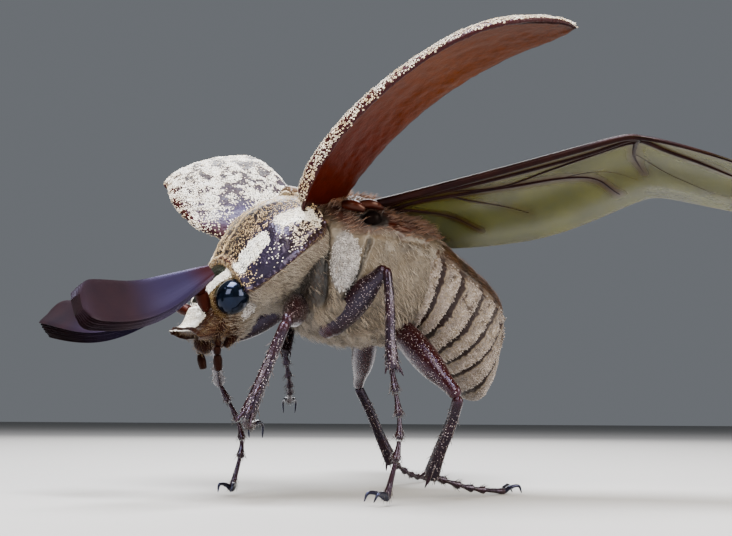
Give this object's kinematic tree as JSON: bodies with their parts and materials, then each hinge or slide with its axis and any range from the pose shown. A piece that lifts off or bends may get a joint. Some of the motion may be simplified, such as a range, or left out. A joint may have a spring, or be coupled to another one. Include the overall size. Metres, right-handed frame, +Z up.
{
  "type": "june beetle",
  "caption": "Life-size still model of a male chafer with fan-shaped feelers, wing cases raised and hind wings spread, standing on its feet.",
  "frame": {"origin": "centre of the bounding box at floor level, under the feet", "axes": "+X towards the head, +Y to the beetle's left, +Z up"},
  "size_m": [0.0494, 0.0584, 0.0337],
  "materials": {
    "horn": "glossy dark purple-brown cuticle with patches of cream-white scales",
    "scaled": "short grey-white scale hairs over dark rings",
    "wool": "dense beige wool over brown cuticle",
    "eye": "black and glossy, finely faceted",
    "club": "satin dark purple-brown blades",
    "case": "glossy red-brown shell, marbled with white scales outside",
    "membrane": "clear olive-yellow membrane with brown veins",
    "leg": "glossy dark purple-brown with small white scales"
  },
  "bodies": {
    "root": {"head": "horn", "prothorax": "horn", "thorax": "wool", "abdomen": "scaled", "pygidium": "scaled", "scutellum": "scaled", "eye_left": "eye", "antenna_left": "leg", "club_left": "club", "palp_left": "leg", "elytron_left": "case", "hindwing_left": "membrane", "femur_fore_left": "leg", "tibia_fore_left": "leg", "tarsus_fore_left": "leg", "femur_mid_left": "leg", "tibia_mid_left": "leg", "tarsus_mid_left": "leg", "femur_hind_left": "leg", "tibia_hind_left": "leg", "tarsus_hind_left": "leg", "eye_right": "eye", "antenna_right": "leg", "club_right": "club", "palp_right": "leg", "elytron_right": "case", "hindwing_right": "membrane", "femur_fore_right": "leg", "tibia_fore_right": "leg", "tarsus_fore_right": "leg", "femur_mid_right": "leg", "tibia_mid_right": "leg", "tarsus_mid_right": "leg", "femur_hind_right": "leg", "tibia_hind_right": "leg", "tarsus_hind_right": "leg"}
  },
  "joints": []
}
